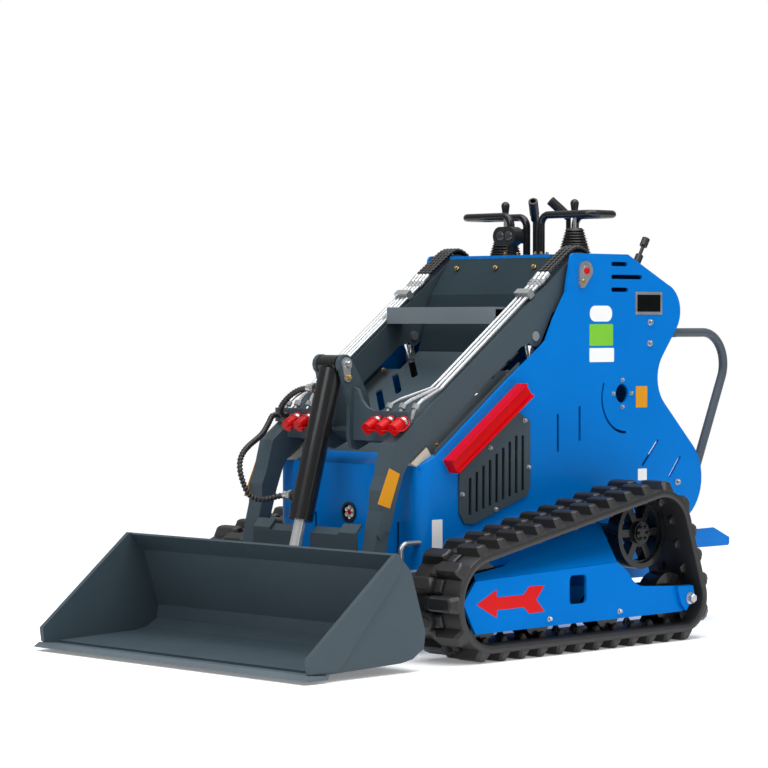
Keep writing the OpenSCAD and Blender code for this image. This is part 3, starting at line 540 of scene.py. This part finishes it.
LINE_Y = (-248.5, -235.5, -221.5, -208.5, 212.5, 228.5, 244.5)     # the steel lines on the arms, sideways
ARM_RIB, ARM_PITCH = 3.1, 12      # height and pitch of the wrap
ARM_HOSE = [(-150, 964), (-180, 990), (-210, 1011), (-240, 1032), (-265, 1048), (-290, 1056), (-315, 1050),
            (-335, 1035), (-347, 1010), (-350, 980), (-350, 940)]
bundle = bmesh.new()
for y in LINE_Y:
    core = 3.6 if y < 0 else 4.5
    line = spread([Vector((x, y, z)) * MM for x, z in ARM_HOSE], 1.6 * MM)
    add_hose(bundle, line, core * MM, ARM_RIB * MM, ARM_PITCH * MM, 14)
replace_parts(piece("arm_hoses_wrapped", bundle, hose_rubber, "boom", sharp_deg=80), "arm_hoses")


# Bolts

UP_HOOD = (182, 0, 253)      # square to the sloping hood
UP_DASH = (0.8, 0, 0.6)      # square to the dash
TILT_FACE = 55               # outside of the tilt pin's keeper plates from the middle, mm
HUB_FACE = 435.8             # outside of a drive sprocket's hub from the middle, mm


def bolts(name, finish, body, across, places):
    """One piece of many bolts; each place is a point and the way its head looks."""
    mesh = bmesh.new()
    for place, axis in places:
        add_bolt(mesh, place, axis, across)
    piece(name, mesh, finish, body)


def on_sides(points, face):
    """Points in forward and up, put on the outward faces of both sides."""
    return [((x, side * face, z), (0, side, 0)) for side in SIDES for x, z in points]


bolts("frame_bolts", zinc_steel, "chassis", 10, on_sides([(88, 94), (-184, 95)], FRAME_FACE))
bolts("tension_bolts", zinc_steel, "chassis", 22, on_sides([(-462, 112)], FRAME_FACE + 10))
bolts("hub_bolts", black_enamel, "chassis", 7, on_sides(circle(-343, 290, 17, 0, 6), HUB_FACE))
bolts("plate_bolts", zinc_steel, "chassis", 12, on_sides([(-559, 854), (-557, 796), (-678, 408)], PLATE_FACE))
bolts("port_bolts", zinc_steel, "chassis", 8, on_sides(circle(-443, 659, 37, 0, 4), PLATE_FACE))
bolts("vent_bolts", zinc_steel, "chassis", 9,
      on_sides([(191, 408), (64, 364), (-61, 470), (-46, 594), (86, 526)], VENT_FACE))
bolts("pivot_bolts", gold_zinc, "chassis", 11, on_sides([(-277, 964)], PLATE_FACE))
bolts("dash_bolts", gold_zinc, "chassis", 9,
      [(place, UP_DASH) for place in ((-218, -139, 1003), (-218, 9, 1003), (-219, 152, 1004))])
bolts("rear_bolts", zinc_steel, "chassis", 10,
      [((-564, side * 235, z), (-1, 0, 0)) for side in SIDES for z in (250, 450, 650)])
bolts("hood_bolts", gold_zinc, "chassis", 9,
      [((x, side * y, z), UP_HOOD) for side in SIDES for x, y, z in ((-28, 235, 720), (231, 230, 534))])
bolts("tilt_pin_heads", zinc_steel, "boom", 16, on_sides([(389, 745)], TILT_FACE))
bolts("tilt_pin_bolt", gold_zinc, "boom", 11, on_sides([(384, 711)], TILT_FACE))

# Steel lines end in hexagon nuts, and the hoses in crimped sleeves
END_Y = (-242.5, -204.5, -158.5, -112.5, 146.5, 194.5, 242.5)      # lower ends of the steel lines, sideways
LINE_FALL = (0.543, 0, -0.84)      # the way a line goes into the cross plate
LINE_WAY = (1, 0, -0.729)          # the way a line runs down the arm
HOSE_WAY = (-0.755, 0, 0.655)      # the way an arm hose leaves its line
mesh = bmesh.new()
for y in END_Y:
    add_turned(mesh, (319, y, 643.6), LINE_FALL, [(0, 7), (1.5, 10), (15, 10), (16.5, 8)], 6)
    add_turned(mesh, (342, y, 606), (1, 0, 0), [(0, 8), (1, 9.5), (10, 9.5)], 6)
for y in LINE_Y:
    nut, sleeve = (7.2, 6.8) if y < 0 else (8.6, 7.9)
    add_turned(mesh, (-154, y, 966.7), LINE_WAY, [(0, nut - 1), (1, nut), (14, nut), (15, nut - 1)], 6)
    add_turned(mesh, (-140, y, 956.5), LINE_WAY, [(0, nut - 1), (8, nut - 1.2), (9, 5.2)], 6)
    add_turned(mesh, (-151, y, 965), HOSE_WAY, [(0, sleeve - 1), (1, sleeve), (13, sleeve), (14, sleeve - 0.6),
                                                (16, sleeve), (29, sleeve), (30, sleeve - 0.8)])
piece("line_nuts", mesh, zinc_steel, "boom")
mesh = bmesh.new()
for x, z in ((490, 405), (407, 682)):
    add_turned(mesh, (x, -46, z), (0, -1, 0), [(0, 12), (1, 14), (11, 14), (12, 12)], 6)
    add_turned(mesh, (x, -58, z), (0, -1, 0),
               [(0, 10.5), (6, 11), (7, 10), (12, 11), (13, 10), (17, 10.6), (18, 8.4)])
piece("barrel_fittings", mesh, zinc_steel, "tilt_barrel")

# Bright bosses of the arm pivots with red covers
PIVOT_X, PIVOT_Z = -290, 993
mesh, covers = bmesh.new(), bmesh.new()
for side in SIDES:
    add_turned(mesh, (PIVOT_X, side * PLATE_FACE, PIVOT_Z), (0, side, 0), [(0, 15), (5, 15), (6.5, 13.5)], 32)
    add_turned(covers, (PIVOT_X, side * (PLATE_FACE + 6), PIVOT_Z), (0, side, 0),
               [(0, 9.5), (3, 9.5), (5, 8), (6, 4)], 32)
piece("pivot_bosses", mesh, zinc_steel, "chassis")
piece("pivot_covers", covers, red_rubber, "chassis")

# Folded flanges along both edges of the arm lock strut, standing on its rounded edges
FLANGE_T, FLANGE_SUNK, FLANGE_H = 5, 4, 11
mesh = bmesh.new()
for foot, head, inward in (((256, 499), (-23, 693), -FLANGE_T), ((233, 466), (-51, 660), FLANGE_T)):
    way = (Vector(head) - Vector(foot)).normalized()
    step = Vector((way.y, -way.x)) * inward
    outline = [foot, head, Vector(head) + step, Vector(foot) + step]
    add_patch(mesh, outline, 1, STRUT_FACE - FLANGE_SUNK, FLANGE_H)
piece("strut_flanges", mesh, red_enamel, "chassis")

# Collars, rims and lanyards of the oil couplers
COUPLER_TURN = math.radians(118)                                        # from straight up
DOWN = Vector((math.sin(COUPLER_TURN), 0, math.cos(COUPLER_TURN)))      # the way a coupler looks
SLACK = ((7, 12, 0), (10, 19, -3), (20, 24, -7), (32, 24, -9), (44, 21, -8), (54, 16, -4), (59, 8, 0),
         (58, 2, 0))      # a lanyard: along the coupler, sideways and up
COUPLER_Y = (146.5, 194.5, 242.5, -158.5, -112.5)
collars, straps = bmesh.new(), bmesh.new()
for y in COUPLER_Y:
    root = Vector((358, y, 606))
    add_turned(collars, root + DOWN * 9, DOWN, [(0, 11), (1, 13), (8, 13), (9, 11.5), (12, 11.5)], 28)
    add_turned(straps, root + DOWN * 21, DOWN, [(0, 15), (1, 18), (5, 18), (6, 16)], 32)
    add_turned(straps, root + DOWN * 5, DOWN, [(0, 11), (1, 14.5), (3, 14.5), (4, 11)], 28)
    slack = [(root + DOWN * t + Vector((0, out, rise))) * MM for t, out, rise in SLACK]
    add_hose(straps, spread(slack, 2.5 * MM), 2.0 * MM, 0, 1, 8)
piece("coupler_collars", collars, zinc_steel, "boom")
piece("coupler_lanyards", straps, red_rubber, "boom", sharp_deg=50)

# Open rubber grips on the drive levers, and bolted feet of the hand loops
LOOP_X, LOOP_Y, SCREW_OUT = -350, 57, 11.9      # front post of a hand loop, and its bolts from its middle
grips, feet, screws = bmesh.new(), bmesh.new(), []
for side in SIDES:
    add_turned(grips, (-447, side * 57, 1157), (38, -28 * side, 42),
               [(0, 12.2), (1, 13.4), (54, 13.4), (55, 12.4), (55, 8.4), (43, 8)], 28)
    add_turned(feet, (LOOP_X, side * LOOP_Y, DECK_TOP), (0, 0, 1), [(0, 24), (3.5, 24), (4.5, 22.5)], 32)
    screws += [((LOOP_X + x, side * LOOP_Y + y, DECK_TOP + 4.5), (0, 0, 1))
               for y in (SCREW_OUT, -SCREW_OUT) for x in (SCREW_OUT, -SCREW_OUT)]
piece("lever_grips", grips, black_nylon, "chassis")
piece("loop_feet", feet, black_enamel, "chassis")
bolts("loop_foot_bolts", gold_zinc, "chassis", 7, screws)

# Bright rods of the joysticks above their boots
mesh = bmesh.new()
for side in SIDES:
    add_turned(mesh, (-406, side * 131, 1113), (0, 0, 1), [(0, 5.4), (41, 5.4)], 20)
piece("joystick_rods", mesh, zinc_steel, "chassis")


# Films and plates, all blank

FILM_T = 0.5


def films(name, finish, body, face, outlines):
    """Blank films of one colour on the outward faces of both sides."""
    mesh = bmesh.new()
    for side in SIDES:
        for outline in outlines:
            add_patch(mesh, outline, side, face, FILM_T)
    piece(name, mesh, finish, body)


films("travel_arrows", red_vinyl, "chassis", FRAME_FACE,
      [[(357, 148), (284, 182), (283, 162), (185, 162), (164, 182), (106, 181), (137, 147), (106, 114), (164, 113),
        (183, 130), (282, 130), (284, 110)]])
films("white_films", white_vinyl, "chassis", PLATE_FACE,
      [rounded(-401, -310, 856, 899, 21), rounded(-409, -309, 746, 784, 3), rounded(-547, -510, 418, 450, 2),
       rounded(258, 296, 272, 347, 3)])
films("green_films", green_vinyl, "chassis", PLATE_FACE, [rounded(-405, -309, 790, 849, 3)])
films("yellow_films", yellow_vinyl, "chassis", PLATE_FACE, [rounded(-548, -501, 619, 678, 3)])
films("arm_films", yellow_vinyl, "boom", ARM_FACE, [[(431, 484), (393, 468), (429, 381), (472, 395)]])
films("data_plate_field", black_plate, "chassis", LABEL_FACE, [rounded(-602, -505, 883, 930, 2)])
mesh = bmesh.new()
for (x, y, z), axis in on_sides([(-606, 879), (-501, 879), (-606, 934), (-501, 934)], LABEL_FACE):
    add_turned(mesh, (x, y, z), axis, [(0, 2.4), (0.8, 2.2), (1.3, 1.2)], 12)
piece("data_plate_rivets", mesh, zinc_steel, "chassis")


# Lamps: small bright cups round a red dot in front, smoked covers above the dash

LAMP_X, LAMP_Y, LAMP_Z = 331.8, 8, 357      # middle of the front lamp's inside
cups, dot = bmesh.new(), bmesh.new()
for y, z in circle(LAMP_Y, LAMP_Z, 13, 30, 6):
    add_turned(cups, (LAMP_X, y, z), (1, 0, 0), [(0, 5.8), (4.5, 5.9), (5, 5.2), (2.2, 2.2)], 20)
piece("front_lamp_cups", cups, lamp_lens, "chassis")
add_turned(dot, (LAMP_X, LAMP_Y, LAMP_Z), (1, 0, 0), [(0, 6), (4.5, 5.6), (5.4, 3.6)], 24)
piece("front_lamp_dot", dot, red_rubber, "chassis")
cover = bmesh.new()
for y in (-28, 4):
    add_turned(cover, (-281.2, y, 1092), (1, 0, 0), [(0, 14.9), (7, 14.8), (9.4, 12), (10.2, 6)], 28)
piece("work_lamp_covers", cover, smoked_lens, "chassis")
